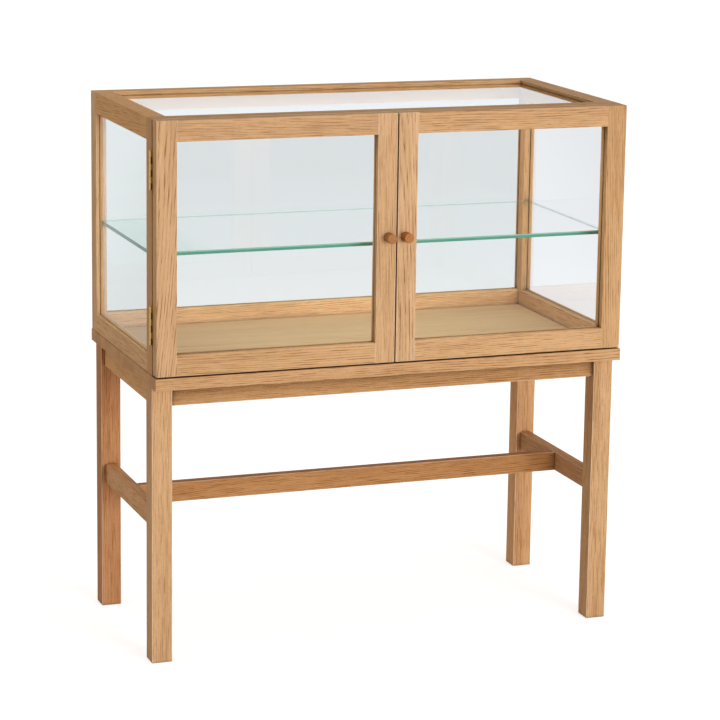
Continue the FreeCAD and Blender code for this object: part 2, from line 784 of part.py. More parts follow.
def hinge_leaf(label, sign, low, toward_case):
    """One leaf: its knuckles by a linear pattern, its plate, and countersunk screw holes."""
    body = doc.addObject("PartDesign::Body", label)
    place(body, f"{sign} * (hinge_axis_side)", "hinge_axis_depth", low)
    inward = f"-({sign})"
    backward = "1" if toward_case else "-1"
    first = "0" if toward_case else KNUCKLE

    def strip(name, near, far, height, level):
        sketch = new_sketch(body, "XY_Plane", name)
        bind(sketch, AttachmentOffset__Base__z=level)
        add_rectangle(sketch, f"{inward} * ({near})", f"{backward} * ({LEAF_FACE})",
                      f"{inward} * ({far})", f"{backward} * door_gap / 2")
        return add_pad(body, sketch, height)

    knuckle_height = f"{KNUCKLE} - hinge_knuckle_gap"
    ring = new_sketch(body, "XY_Plane", "Knuckle")
    bind(ring, AttachmentOffset__Base__z=f"{first} + hinge_knuckle_gap / 2")
    add_circle(ring, "hinge_barrel_diameter")
    add_circle(ring, BORE_DIAMETER)
    barrel = add_pad(body, ring, knuckle_height)
    plate_start = f"{BARREL_RADIUS} + hinge_barrel_gap"
    web = strip("Web", f"({BARREL_RADIUS} + hinge_pin_diameter / 2) / 2", plate_start, knuckle_height,
                f"{first} + hinge_knuckle_gap / 2")
    doc.recompute()
    row = body.newObject("PartDesign::LinearPattern", "Knuckles")
    row.Originals = [barrel, web]
    row.Direction = (origin_plane(body, "Z_Axis"), [""])
    row.Occurrences = KNUCKLE_COUNT // 2
    bind(row, Length=f"hinge_length - 2 * {KNUCKLE}")
    body.Tip = row
    strip("Plate", plate_start, f"{BARREL_RADIUS} + hinge_leaf_width", "hinge_length - hinge_knuckle_gap",
          "hinge_knuckle_gap / 2")
    for level in hinge_screw_levels("0"):
        sink = body.newObject("PartDesign::SubtractiveCone", "Countersink")
        bind(sink, Radius1="hinge_screw_head_diameter / 2 + screw_fit",
             Radius2="hinge_screw_diameter / 2 + screw_fit", Height="hinge_leaf_thickness")
        sink.Placement = FreeCAD.Placement(FreeCAD.Vector(), TURNS["+Y" if toward_case else "-Y"])
        place(sink, f"{inward} * (hinge_screw_line + {BARREL_RADIUS})", f"{backward} * ({LEAF_FACE})", level)
    return body


for side, sign in SIGNS.items():
    for owner, toward_case in (("case", True), ("door", False)):
        leaves = [hinge_leaf(f"{owner}_{side}_leaf_{name}", sign, low, toward_case)
                  for name, low in (("low", "hinge_low"), ("high", "hinge_high"))]
        group(f"hinge_leaves_{owner}_{side}", leaves)
        direction = "+Y" if toward_case else "-Y"
        face = f"hinge_axis_depth {direction[0]} ({LEAF_FACE})"
        screws = [screw(f"{owner}_{side}_hinge_screw_{number}", (f"{sign} * (hinge_screw_side)", face, level),
                        direction, "hinge_screw_length", "hinge_screw_diameter", "hinge_screw_head_diameter",
                        "hinge_screw_head_height")
                  for number, level in enumerate(HINGE_LEVELS, start=1)]
        group(f"hinge_screws_{owner}_{side}", screws)
    hinge_pins = [solid_of("Cylinder", f"hinge_pin_{side}_{name}", None,
                           (f"{sign} * (hinge_axis_side)", "hinge_axis_depth", low),
                           Radius="hinge_pin_diameter / 2", Height="hinge_length")
                  for name, low in (("low", "hinge_low"), ("high", "hinge_high"))]
    group(f"hinge_pins_{side}", hinge_pins)

# Double magnetic catch under the front top rail, and a strike plate on the back of each door.
MAGNET_Y = ("case_front - magnet_proud", "case_front + catch_depth / 2")
MAGNET_Z = ("magnet_level - magnet_height / 2", "magnet_level + magnet_height / 2")
MAGNET_X = (left("magnet_offset + magnet_width / 2"), left("magnet_offset - magnet_width / 2"))
MAGNET = Block.between(MAGNET_X, MAGNET_Y, MAGNET_Z)
member(
    "catch_housing",
    Block.between(("-catch_width / 2", "catch_width / 2"), ("case_front", "case_front + catch_depth"),
                  ("catch_top - catch_height", "catch_top")),
    cuts=[MAGNET, MAGNET.mirrored()],
)
magnets = []
for number, block in enumerate((MAGNET, MAGNET.mirrored()), start=1):
    length, depth, height = block.size
    magnets.append(solid_of("Box", f"magnet_{number}", None, block.low,
                            Length=length, Width=depth, Height=height))
group("catch_magnets", magnets)
for side, flip in SIDES:
    member(
        f"door_{side}_strike_plate",
        Block.between((left("magnet_offset + strike_width / 2"), left("magnet_offset - strike_width / 2")),
                      ("door_back", "door_back + strike_thickness"),
                      ("magnet_level - strike_height / 2", "magnet_level + strike_height / 2")),
        flip=flip,
    )

# Screws that hold the aprons to the base plate, and the base plate to the posts.
group("stand_screws", [
    screw(f"stand_screw_{number}", (x, y, STAND_SCREW_FACE), "+Z", "stand_screw_length", "fixing_diameter",
          "fixing_head_diameter", "fixing_head_height", countersunk=False)
    for number, (x, y) in enumerate(STAND_SCREW_XY["front"] + STAND_SCREW_XY["rear"], start=1)
])
group("case_screws", [
    screw(f"case_screw_{number}", (x, y, CASE_SCREW_FACE), "+Z", "case_screw_length", "fixing_diameter",
          "fixing_head_diameter", "fixing_head_height", countersunk=False)
    for number, (x, y) in enumerate(CASE_SCREW_XY, start=1)
])

doc.recompute()

for item in doc.Objects:
    if {"Invalid", "Error"} & set(item.State):
        raise RuntimeError(f"{item.Label} did not compute: {item.State}")
for part in sub_parts:
    if part.Shape.isNull() or not part.Shape.isValid() or not part.Shape.Solids:
        raise RuntimeError(f"{part.Label} has no valid solid")

os.makedirs("parts", exist_ok=True)
for part in sub_parts:
    part.Shape.exportStep(f"parts/{part.Label}.step")
print(len(sub_parts), "parts,", sum(len(part.Shape.Solids) for part in sub_parts), "solids")
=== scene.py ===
"""Looks of the glass display cabinet: oak, float glass, brass hinges and fittings, camera and studio."""

import json
import math
import random

import bmesh
import bpy
from mathutils import Euler, Matrix, Vector


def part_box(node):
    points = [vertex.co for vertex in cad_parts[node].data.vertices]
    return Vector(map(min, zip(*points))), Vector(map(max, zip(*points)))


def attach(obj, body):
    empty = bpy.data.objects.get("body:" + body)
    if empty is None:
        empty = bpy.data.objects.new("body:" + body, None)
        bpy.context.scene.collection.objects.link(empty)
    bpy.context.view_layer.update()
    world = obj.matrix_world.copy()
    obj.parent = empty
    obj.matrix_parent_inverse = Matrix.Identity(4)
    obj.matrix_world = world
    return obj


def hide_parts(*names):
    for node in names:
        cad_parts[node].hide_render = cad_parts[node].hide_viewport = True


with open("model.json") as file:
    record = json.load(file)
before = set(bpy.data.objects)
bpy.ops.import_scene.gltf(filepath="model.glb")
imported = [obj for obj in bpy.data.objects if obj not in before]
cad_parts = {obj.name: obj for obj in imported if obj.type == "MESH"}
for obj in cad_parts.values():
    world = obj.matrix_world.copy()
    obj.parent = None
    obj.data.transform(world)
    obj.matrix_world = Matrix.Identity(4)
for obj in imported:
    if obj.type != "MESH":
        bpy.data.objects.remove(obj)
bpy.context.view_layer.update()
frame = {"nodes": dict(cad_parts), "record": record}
NODES = frame["nodes"]
MM = 0.001

# Camera, fitted to the photograph's edges: a long lens from the left, a little above the case.
CAMERA_PLACE = Vector((-1.8815, -5.1462, 1.7827))
CAMERA_YAW = math.radians(-20.184)
CAMERA_PITCH = math.radians(-11.413)
CAMERA_ROLL = math.radians(-0.817)
CAMERA_LENS = 133.67
CAMERA_SENSOR = 36
CAMERA_SHIFT_Y = -1 / 12
CAMERA_FAR = 100

# Lamps: a large one at the front right, and a small one under the top pane that points straight down
KEY_LIGHT = dict(place=(1.9, -7.4, 1.6), target=(0, 0, 0.6), size=(3.2, 2.8), power=300, colour=(0.97, 1.0, 1.03))
CASE_LIGHT = dict(place=(0.03, 0.01, 1.07), target=(0.03, 0.01, 0.5), size=(0.8, 0.36), power=2.4, colour=(1, 1, 1))

# Studio: a warm fill that lights the object, and the white that is seen behind it
FILL_STRENGTH = 0.5
FILL_COLOUR = (1.0, 0.915, 0.80, 1)
WHITE = (1, 1, 1, 1)

# Floor
FLOOR_SIZE = 30
FLOOR_DROP = 0.5 * MM
FLOOR_COLOUR = (0.86, 0.86, 0.86, 1)
FLOOR_GLOW = 0.67
FLOOR_GLOW_COLOUR = (0.93, 0.96, 1.0, 1)

# What glass and metal mirror: how bright the studio is in each part, and where one part fades into the next
FRONT_FAR_GLOSS = 0.05
FRONT_NEAR_GLOSS = 0.5
FRONT_LEFT_GLOSS = 0.85
REAR_FAR_GLOSS = 0.62
REAR_NEAR_GLOSS = 0.55
REAR_RIGHT_GLOSS = 1.0
GLOSS_COLOUR = (0.955, 0.975, 1.0, 1)
REAR_SLANT = 0.37
REAR_SPLIT = (-0.25, 0.25)
WORLD_FADES = dict(side=(-0.6, -0.1), depth=(-0.2, 0.2), front_reach=(-2, -1), rear_reach=(-2, -1))
FLOOR_FADES = dict(side=(-1.9, -0.7), depth=(-3.0, -0.6), front_reach=(-5.2, -3.0), rear_reach=(2.8, 5.2))

# Oak
OAK_PALE = (0.74, 0.455, 0.24, 1)
OAK_DARK = (0.33, 0.15, 0.055, 1)
# Pale wear on the arrises, together with a painted highlight there
OAK_WEAR_AND_HIGHLIGHT = (1.0, 0.82, 0.6, 1)
# Painted shade, laid on crevices and under overhangs
OAK_CREVICE_SHADE = (0.055, 0.022, 0.007, 1)
OAK_SPECULAR = 0.06
OAK_BUMP_DEPTH = 0.12 * MM
RING_SPACING = 2.5 * MM
RING_SWAY = 26 * MM
RING_RIPPLE = 1.1 * MM
RING_SHADE = 0.16
RING_DASH_SHADE = 0.62
DASH_SHADE = 0.06
PORE_SHADE = 0.6
MIDDLE_SHADE = 0.16
PITH_BEHIND = (0.8, 1.25)
PITH_BESIDE = (0.7, 1.3)
VALUE_SPREAD = (0.96, 1.05)
SATURATION_SPREAD = (0.97, 1.04)

# Noises of the oak's figure: scale along the grain and across it, detail and roughness
OAK_NOISES = {
    "sway": (1.2, 5, 2.0, 0.5),
    "ripple": (7, 60, 2.0, 0.5),
    "dash": (19, 430, 2.0, 0.5),
    "streak": (9, 640, 4.0, 0.7),
    "fibre": (36, 1100, 3.0, 0.6),
    "cloud": (2.0, 26, 3.0, 0.5),
    "pore": (110, 3400, 1.0, 0.5),
    "scuff_and_highlight": (30, 200, 3.0, 0.5),
}
# How dark three of them make the wood: the noise's range, and the shade at its two ends
OAK_SHADES = {"streak": (0.36, 0.7, -0.02, 0.3), "fibre": (0.3, 0.7, -0.08, 0.16), "cloud": (0.3, 0.7, -0.12, 0.12)}

# Glass
GLASS_IOR = 1.5
LEFT_PANE_IOR = 1.2
CUT_EDGE_SPECULAR = 0.15
PANE_LAMP_TINT = (0.94, 0.955, 0.95, 1)
SHELF_LAMP_TINT = (0.9, 0.945, 0.92, 1)
# The shelf's cut edges: painted colour in place of the light seen through the glass's length, with a painted
# highlight along the top
SHELF_EDGES = dict(
    deep=(0.1, 0.38, 0.28, 1),
    pale=(0.16, 0.46, 0.35, 1),
    top=(0.36, 0.68, 0.56, 1),
    end=(0.01, 0.26, 0.17, 1),
)

# Metals and plastic
# Painted shade in the metals' crevices
METAL_CREVICE_SHADE = (0.07, 0.04, 0.018, 1)
METAL_CREVICE_REACH = 2.5 * MM
BRASS_BRIGHT = (0.9, 0.6, 0.2, 1)
BRASS_DULL = (0.7, 0.44, 0.13, 1)
# Painted shade on the case leaves' knuckles, where they lie forward and towards the middle, facing the door
BRASS_KNUCKLE_SHADE = (0.3, 0.15, 0.03, 1)
KNUCKLE_SHADE_FORWARD = -209.9 * MM
KNUCKLE_SHADE_BESIDE = 502.3 * MM
KNUCKLE_SHADE_FADE = 0.5 * MM
SMALL_BUMP_DEPTH = 0.05 * MM

# Meshes
OPENNESS_SAMPLES = 5
WELD_REACH = 0.01 * MM
ISLAND_WELD = 0.001 * MM
EDGE_EASE = 1.5 * MM
EASE_SEGMENTS = 2
SHARP_ANGLE = math.radians(35)
TURNED_SIDES = 28

# Screws: thread root and point as shares of the shank, its plain part of the length, the recess's foot of its top
THREAD_ROOT = 0.36
POINT_LENGTH = 0.8
PLAIN_LENGTH = 0.45
RECESS_TAPER = 0.7


class Graph:
    """Short names for making and joining shader nodes in one tree."""

    def __init__(self, tree):
        self.tree = tree

    def add(self, kind, settings=None, **inputs):
        """A node with its settings made and its inputs fed. An underscore in an input's name stands for a space."""
        node = self.tree.nodes.new(kind)
        for name, value in (settings or {}).items():
            setattr(node, name, value)
        for name, value in inputs.items():
            self.feed(node, name.replace("_", " "), value)
        return node

    def feed(self, node, name, value):
        """Links a socket to an input, or sets the input to a plain value. The name may be the input's number."""
        socket = node.inputs[int(name)] if name.isdigit() else node.inputs[name]
        if isinstance(value, bpy.types.NodeSocket):
            self.tree.links.new(value, socket)
        else:
            socket.default_value = value

    def math(self, operation, *values):
        """The result of one Math node."""
        node = self.tree.nodes.new("ShaderNodeMath")
        node.operation = operation
        for number, value in enumerate(values):
            self.feed(node, str(number), value)
        return node.outputs[0]

    def noise(self, vector, scale, detail=3.0, roughness=0.5):
        """Noise of about 0 to 1, mostly near the middle."""
        node = self.add("ShaderNodeTexNoise", Vector=vector, Scale=scale, Detail=detail, Roughness=roughness)
        return node.outputs["Fac"]

    def stretched(self, vector, along, across):
        """The coordinates scaled by one factor along the grain and another across it."""
        node = self.add("ShaderNodeVectorMath", {"operation": "MULTIPLY"})
        self.tree.links.new(vector, node.inputs[0])
        node.inputs[1].default_value = (along, across, across)
        return node.outputs[0]

    def between(self, value, low, high, to_low=0.0, to_high=1.0):
        """The value's range low..high eased onto another range."""
        node = self.add("ShaderNodeMapRange", {"interpolation_type": "SMOOTHSTEP"}, Value=value)
        for name, number in (("From Min", low), ("From Max", high), ("To Min", to_low), ("To Max", to_high)):
            node.inputs[name].default_value = number
        return node.outputs["Result"]

    def openness(self, reach):
        """How open the surface is within the reach: 1 on a bare face, near 0 deep in a narrow gap."""
        return self.add("ShaderNodeAmbientOcclusion", {"samples": OPENNESS_SAMPLES}, Distance=reach).outputs["AO"]

    def mix(self, factor, first, second):
        """Two shaders mixed by a factor."""
        node = self.tree.nodes.new("ShaderNodeMixShader")
        for number, socket in enumerate((factor, first, second)):
            self.tree.links.new(socket, node.inputs[number])
        return node.outputs[0]

    def blend(self, factor, first, second):
        """Two colours mixed by a factor."""
        node = self.tree.nodes.new("ShaderNodeMix")
        node.data_type = "RGBA"
        self.feed(node, "0", factor)
        self.feed(node, "6", first)
        self.feed(node, "7", second)
        return node.outputs[2]


def new_material(name):
    """An empty material and the graph of its nodes."""
    material = bpy.data.materials.new(name)
    material.use_nodes = True
    material.node_tree.nodes.clear()
    return material, Graph(material.node_tree)


def surface(graph, shader):
    """Joins a shader to the material's output."""
    output = graph.tree.nodes.new("ShaderNodeOutputMaterial")
    graph.tree.links.new(shader, output.inputs["Surface"])


def dress(node_name, material):
    """Gives a CAD node one material."""
    data = NODES[node_name].data
    data.materials.clear()
    data.materials.append(material)


# Oak: rings round a pith outside the board, with streaks and pores along the grain
def oak_figure():
    """A group that turns board coordinates (X along the grain) into colour, roughness and height."""
    tree = bpy.data.node_groups.new("oak_figure", "ShaderNodeTree")
    tree.interface.new_socket("Board", in_out="INPUT", socket_type="NodeSocketVector")
    for name in ("WearAndHighlight", "Contrast", "CreviceShade", "Reach"):
        tree.interface.new_socket(name, in_out="INPUT", socket_type="NodeSocketFloat")
    for name, kind in (("Color", "Color"), ("Roughness", "Float"), ("Height", "Float")):
        tree.interface.new_socket(name, in_out="OUTPUT", socket_type=f"NodeSocket{kind}")
    graph = Graph(tree)
    board, edge_wear_and_highlight, contrast, crevice_shade, reach = tree.nodes.new("NodeGroupInput").outputs[:5]
    parts = graph.add("ShaderNodeSeparateXYZ", Vector=board)
    noises = {name: graph.noise(graph.stretched(board, along, across), 1.0, detail, roughness)
              for name, (along, across, detail, roughness) in OAK_NOISES.items()}

    # Growth rings: wide arches where a face lies along them, fine lines where it cuts across
    radius = graph.math("SQRT", graph.math("ADD", graph.math("POWER", parts.outputs["Y"], 2.0),
                                           graph.math("POWER", parts.outputs["Z"], 2.0)))
    radius = graph.math("ADD", radius, graph.math("MULTIPLY", noises["sway"], RING_SWAY))
    radius = graph.math("ADD", radius, graph.math("MULTIPLY", noises["ripple"], RING_RIPPLE))
    ring = graph.math("FRACT", graph.math("DIVIDE", radius, RING_SPACING))
    early = graph.math("MULTIPLY", graph.between(ring, 0.0, 0.12), graph.between(ring, 0.5, 0.2))

    # Rows of pores draw dark dashes, most of them in the porous early wood
    dash = graph.between(noises["dash"], 0.5, 0.64)
    pore = graph.math("MULTIPLY", graph.between(noises["pore"], 0.6, 0.7), graph.math("ADD", early, 0.3))
    dashed = graph.math("ADD", RING_SHADE, graph.math("MULTIPLY", dash, RING_DASH_SHADE))
    shade = graph.math("ADD", graph.math("MULTIPLY", early, dashed), graph.math("MULTIPLY", dash, DASH_SHADE))
    for name, limits in OAK_SHADES.items():
        shade = graph.math("ADD", shade, graph.between(noises[name], *limits))
    shade = graph.math("ADD", shade, graph.math("MULTIPLY", pore, PORE_SHADE))
    shade = graph.math("MULTIPLY", graph.math("SUBTRACT", shade, MIDDLE_SHADE), contrast)
    shade = graph.math("ADD", MIDDLE_SHADE, shade)
    colour = graph.blend(shade, OAK_PALE, OAK_DARK)

    # Handling polishes the arrises pale, where the surface turns away from the board's flat faces; the same pale
    # colour is also a painted highlight along them
    facing = graph.add("ShaderNodeSeparateXYZ", Vector=graph.add("ShaderNodeTexCoord").outputs["Normal"])
    sides = [graph.math("ABSOLUTE", facing.outputs[axis]) for axis in "XYZ"]
    flat = graph.math("MAXIMUM", graph.math("MAXIMUM", sides[0], sides[1]), sides[2])
    scuff_and_highlight = graph.between(noises["scuff_and_highlight"], 0.3, 0.6, 0.45, 0.95)
    wear_and_highlight = graph.math("MULTIPLY", graph.between(flat, 0.985, 0.9), graph.math("MULTIPLY", scuff_and_highlight, edge_wear_and_highlight))

    # Painted shade: crevices and what lies close under an overhang are darkened, the less open the surface the
    # darker
    openness = graph.openness(reach)
    deep = graph.math("MULTIPLY", graph.between(openness, 0.74, 0.08, 0.0, 0.92), crevice_shade)
    colour = graph.blend(deep, colour, OAK_CREVICE_SHADE)
    # Painted highlight and wear on the arrises, kept out of gaps
    colour = graph.blend(graph.math("MULTIPLY", wear_and_highlight, graph.between(openness, 0.2, 0.45)), colour, OAK_WEAR_AND_HIGHLIGHT)

    # Pores are rougher and deeper, worn arrises smoother
    rough = graph.between(noises["streak"], 0.2, 0.8, 0.54, 0.64)
    rough = graph.math("ADD", rough, graph.math("MULTIPLY", pore, 0.2))
    rough = graph.math("SUBTRACT", rough, graph.math("MULTIPLY", wear_and_highlight, 0.08))
    height = graph.math("SUBTRACT", graph.math("MULTIPLY", noises["fibre"], 0.4), pore)
    height = graph.math("SUBTRACT", height, graph.math("MULTIPLY", early, 0.3))

    output = tree.nodes.new("NodeGroupOutput")
    for number, socket in enumerate((colour, rough, height)):
        tree.links.new(socket, output.inputs[number])
    return tree


GRAIN_TURNS = {"X": (0, 0, 0), "Y": (0, 0, math.radians(-90)), "Z": (0, math.radians(90), 0)}
FIGURE = oak_figure()


def oak(name, box, grain, seed, value=1.0, saturation=1.0, hue=0.0, pith=(52, 44), lean=1.5, edge_wear_and_highlight=1.0,
        slope=0.0, coarse=1.0, contrast=1.12, crevice_shade=1.0, reach=14):
    """Oak sawn from its own place in the log. The pith is so many mm behind the board and to its side, the grain
    leans and slopes by so many degrees, a coarse board grew with wider rings, and painted shade darkens crevices
    and what lies under an overhang within the reach in mm."""
    chance = random.Random(seed)
    turn = Euler(GRAIN_TURNS[grain]).to_matrix()
    middle = turn @ ((box[0] + box[1]) / 2)
    tilt = [math.radians(chance.uniform(-lean, lean)) for _ in range(2)]
    material, graph = new_material(name)
    coordinates = graph.add("ShaderNodeTexCoord").outputs["Object"]
    laid = graph.add("ShaderNodeMapping", Vector=coordinates)
    laid.inputs["Rotation"].default_value = GRAIN_TURNS[grain]
    laid.inputs["Location"].default_value = -middle
    sawn = graph.add("ShaderNodeMapping", Vector=laid.outputs[0])
    sawn.inputs["Rotation"].default_value = (0, tilt[0] + math.radians(slope), tilt[1])
    sawn.inputs["Scale"].default_value = (1 / coarse,) * 3
    sawn.inputs["Location"].default_value = (
        chance.uniform(1, 9),
        pith[0] * chance.uniform(*PITH_BEHIND) * MM,
        chance.choice((-1, 1)) * pith[1] * chance.uniform(*PITH_BESIDE) * MM,
    )
    group = graph.add("ShaderNodeGroup", {"node_tree": FIGURE})
    graph.tree.links.new(sawn.outputs[0], group.inputs[0])
    for socket, number in zip(group.inputs[1:], (edge_wear_and_highlight, contrast, crevice_shade, reach * MM)):
        socket.default_value = number
    tone = graph.add("ShaderNodeHueSaturation", Color=group.outputs["Color"], Hue=0.5 + hue,
                     Value=value * chance.uniform(*VALUE_SPREAD),
                     Saturation=saturation * chance.uniform(*SATURATION_SPREAD))
    bump = graph.add("ShaderNodeBump", Height=group.outputs["Height"], Strength=0.4, Distance=OAK_BUMP_DEPTH)
    shader = graph.add("ShaderNodeBsdfPrincipled", Base_Color=tone.outputs[0], Roughness=group.outputs["Roughness"],
                       Normal=bump.outputs[0])
    shader.inputs["Specular IOR Level"].default_value = OAK_SPECULAR
    surface(graph, shader.outputs[0])
    return material


def grain_of(low, high):
    """A board's grain runs along its longest side."""
    size = high - low
    return "XYZ"[max(range(3), key=lambda axis: size[axis])]


# Boards whose tone or figure differs from the rest
# The crevice and reach settings set the painted shade; it is strongest on the aprons, under the base plate's
# overhang
BOARDS = {
    "floor_panel": dict(value=0.985, saturation=0.94, hue=0.008, pith=(30, 300), lean=0.5, contrast=0.4),
    "stretcher_long": dict(value=0.82, saturation=1.14, hue=-0.008),
    "stretcher_left": dict(value=1.02, saturation=1.02, hue=-0.004),
    "stretcher_right": dict(value=0.92, saturation=1.05, hue=-0.006),
    "leg_rear_left": dict(value=0.9, saturation=1.1, hue=-0.014, pith=(80, 60)),
    "leg_rear_right": dict(value=1.2, saturation=1.03, hue=-0.004, pith=(80, 60)),
    "leg_front_left": dict(value=1.01, saturation=1.03),
    "leg_front_right": dict(pith=(60, 60), contrast=1.45),
    "post_front_left": dict(value=0.97, saturation=1.06, hue=-0.004),
    "top_rail_left": dict(value=1.05, saturation=1.08, contrast=0.75),
    "apron_left": dict(value=1.12, saturation=1.08, contrast=0.8, crevice_shade=2.2, reach=24),
    "post_rear_right": dict(value=1.04),
    "post_rear_left": dict(value=1.12, saturation=0.95, crevice_shade=0.3),
    "top_rail_rear": dict(value=1.16, saturation=1.0, crevice_shade=0.3),
    "bottom_rail_left": dict(value=1.12, crevice_shade=0.4),
    "apron_front": dict(value=0.88, saturation=1.1, hue=-0.002, crevice_shade=6.0, reach=60),
    "base_plate": dict(value=0.94, saturation=1.05, hue=-0.003, pith=(40, 200), crevice_shade=0.8),
    # Painted light: the rear bottom rail is made much lighter, for the light inside the case
    "bottom_rail_rear": dict(value=1.34, saturation=0.93, hue=0.006, edge_wear_and_highlight=0.3),
    "bottom_rail_right": dict(value=1.06, saturation=1.03),
    "top_rail_front": dict(value=0.95, saturation=1.08),
    "top_rail_right": dict(value=0.95, saturation=1.04),
    "door_left_hinge_stile": dict(value=0.965, saturation=0.95, pith=(70, 34), slope=-5.5, coarse=1.4, lean=0.5),
    "door_right_hinge_stile": dict(value=0.93, pith=(60, 30), slope=3, coarse=1.3),
    "door_left_meeting_stile": dict(value=0.97, crevice_shade=0.55),
    "door_right_meeting_stile": dict(value=1.01, saturation=0.94, pith=(60, 30), coarse=1.3, crevice_shade=0.55),
    "door_right_top_rail": dict(value=0.95, coarse=1.2),
    "door_left_bottom_rail": dict(coarse=1.3),
}
KNOB = dict(value=0.71, saturation=1.2, hue=-0.014, pith=(14, 9), edge_wear_and_highlight=0.0)


# Glass: clear to lamps, so that the inside is lit through the panes
def through_light(graph, shader, tint):
    """Lets lamps, and light on its way from matt surfaces, straight through a glass shader."""
    path = graph.add("ShaderNodeLightPath")
    straight = graph.math("MAXIMUM", path.outputs["Is Shadow Ray"], path.outputs["Is Diffuse Ray"])
    clear = graph.add("ShaderNodeBsdfTransparent", Color=tint)
    return graph.mix(straight, shader, clear.outputs[0])


def glass(name, tint, lamp_tint=PANE_LAMP_TINT, edges=None, second_tint=None, fade=None, ior=GLASS_IOR):
    """Clear float glass, with cut edges painted the green that the glass shows through its length, in place of the
    light seen through it, and lighter along their top as a painted highlight. The tint fades into a second one along
    an axis, from one place to another in metres."""
    material, graph = new_material(name)
    coordinates = graph.add("ShaderNodeTexCoord")
    smear = graph.noise(coordinates.outputs["Object"], 7.0, 3.0)
    if second_tint is not None:
        axis, start, end = fade
        place = graph.add("ShaderNodeSeparateXYZ", Vector=coordinates.outputs["Object"]).outputs[axis]
        tint = graph.blend(graph.between(place, start, end), tint, second_tint)
    clear = graph.add("ShaderNodeBsdfPrincipled", Base_Color=tint, IOR=ior,
                      Roughness=graph.between(smear, 0.4, 0.75, 0.0, 0.012))
    clear.inputs["Transmission Weight"].default_value = 1.0
    if edges is None:
        surface(graph, through_light(graph, clear.outputs[0], lamp_tint))
        return material

    facing = graph.add("ShaderNodeSeparateXYZ", Vector=coordinates.outputs["Normal"])
    is_edge = graph.between(graph.math("ABSOLUTE", facing.outputs["Z"]), 0.8, 0.6)
    band = graph.noise(graph.stretched(coordinates.outputs["Object"], 6, 6), 1.0, 3.0)
    green = graph.blend(graph.between(band, 0.3, 0.7), edges["deep"], edges["pale"])
    level = graph.add("ShaderNodeSeparateXYZ", Vector=coordinates.outputs["Generated"])
    # Painted highlight along the top of the cut edge
    green = graph.blend(graph.between(level.outputs["Z"], 0.6, 0.75), green, edges["top"])
    end = graph.between(graph.math("ABSOLUTE", facing.outputs["X"]), 0.5, 0.8)
    green = graph.blend(end, green, edges["end"])
    cut = graph.add("ShaderNodeBsdfPrincipled", Base_Color=green, IOR=GLASS_IOR,
                    Roughness=graph.between(smear, 0.4, 0.75, 0.08, 0.14))
    cut.inputs["Specular IOR Level"].default_value = CUT_EDGE_SPECULAR
    surface(graph, through_light(graph, graph.mix(is_edge, clear.outputs[0], cut.outputs[0]), lamp_tint))
    return material


def metal(name, colour, dull, roughness, scale, knuckle_shade=False):
    """Metal with fine brushing, a slightly duller tone in patches and painted shade in its crevices. Leaves with
    knuckle shade also get painted shade on the part of their knuckles that lies forward and towards the middle,
    where they face the door."""
    material, graph = new_material(name)
    coordinates = graph.add("ShaderNodeTexCoord").outputs["Object"]
    patch = graph.noise(coordinates, scale, 4.0)
    brushed = graph.noise(graph.stretched(coordinates, 60, 900), 1.0, 2.0)
    base = graph.blend(graph.between(patch, 0.35, 0.7), colour, dull)
    # Painted shade in crevices
    openness = graph.openness(METAL_CREVICE_REACH)
    base = graph.blend(graph.between(openness, 0.45, 0.05), base, METAL_CREVICE_SHADE)
    # Painted shade on the forward, inner part of the knuckles, where they face the door
    if knuckle_shade:
        place = graph.add("ShaderNodeSeparateXYZ", Vector=coordinates)
        beside = graph.math("ABSOLUTE", place.outputs["X"])
        forward = graph.between(place.outputs["Y"], KNUCKLE_SHADE_FORWARD + KNUCKLE_SHADE_FADE, KNUCKLE_SHADE_FORWARD - KNUCKLE_SHADE_FADE)
        inner = graph.between(beside, KNUCKLE_SHADE_BESIDE + KNUCKLE_SHADE_FADE, KNUCKLE_SHADE_BESIDE - KNUCKLE_SHADE_FADE)
        base = graph.blend(graph.math("MULTIPLY", forward, inner), base, BRASS_KNUCKLE_SHADE)
    rough = graph.math("ADD", graph.between(brushed, 0.3, 0.7, roughness, roughness + 0.08),
                       graph.between(patch, 0.4, 0.7, 0.0, 0.1))
    bump = graph.add("ShaderNodeBump", Height=brushed, Strength=0.12, Distance=SMALL_BUMP_DEPTH)
    shader = graph.add("ShaderNodeBsdfPrincipled", Base_Color=base, Roughness=rough, Normal=bump.outputs[0])
    shader.inputs["Metallic"].default_value = 1.0
    surface(graph, shader.outputs[0])
    return material


def plastic(name, colour, pale):
    """Moulded plastic with a fine mottle."""
    material, graph = new_material(name)
    coordinates = graph.add("ShaderNodeTexCoord").outputs["Object"]
    mottle = graph.noise(coordinates, 900.0, 3.0)
    base = graph.blend(graph.between(mottle, 0.3, 0.7), colour, pale)
    bump = graph.add("ShaderNodeBump", Height=mottle, Strength=0.2, Distance=SMALL_BUMP_DEPTH)
    shader = graph.add("ShaderNodeBsdfPrincipled", Base_Color=base, Normal=bump.outputs[0],
                       Roughness=graph.between(mottle, 0.3, 0.7, 0.42, 0.55))
    surface(graph, shader.outputs[0])
    return material


PANE = glass("pane_glass", WHITE)
LEFT_PANE = glass("left_pane_glass", (0.935, 0.955, 0.945, 1), ior=LEFT_PANE_IOR)
TOP_PANE = glass("top_pane_glass", (0.945, 0.978, 1.0, 1))
# Painted shade: the rear pane is tinted darker above 0.87 m, fading to a lighter tint below 0.78 m
REAR_PANE = glass("rear_pane_glass", (0.858, 0.888, 0.876, 1),
                  second_tint=(0.902, 0.942, 0.932, 1), fade=("Z", 0.87, 0.78))
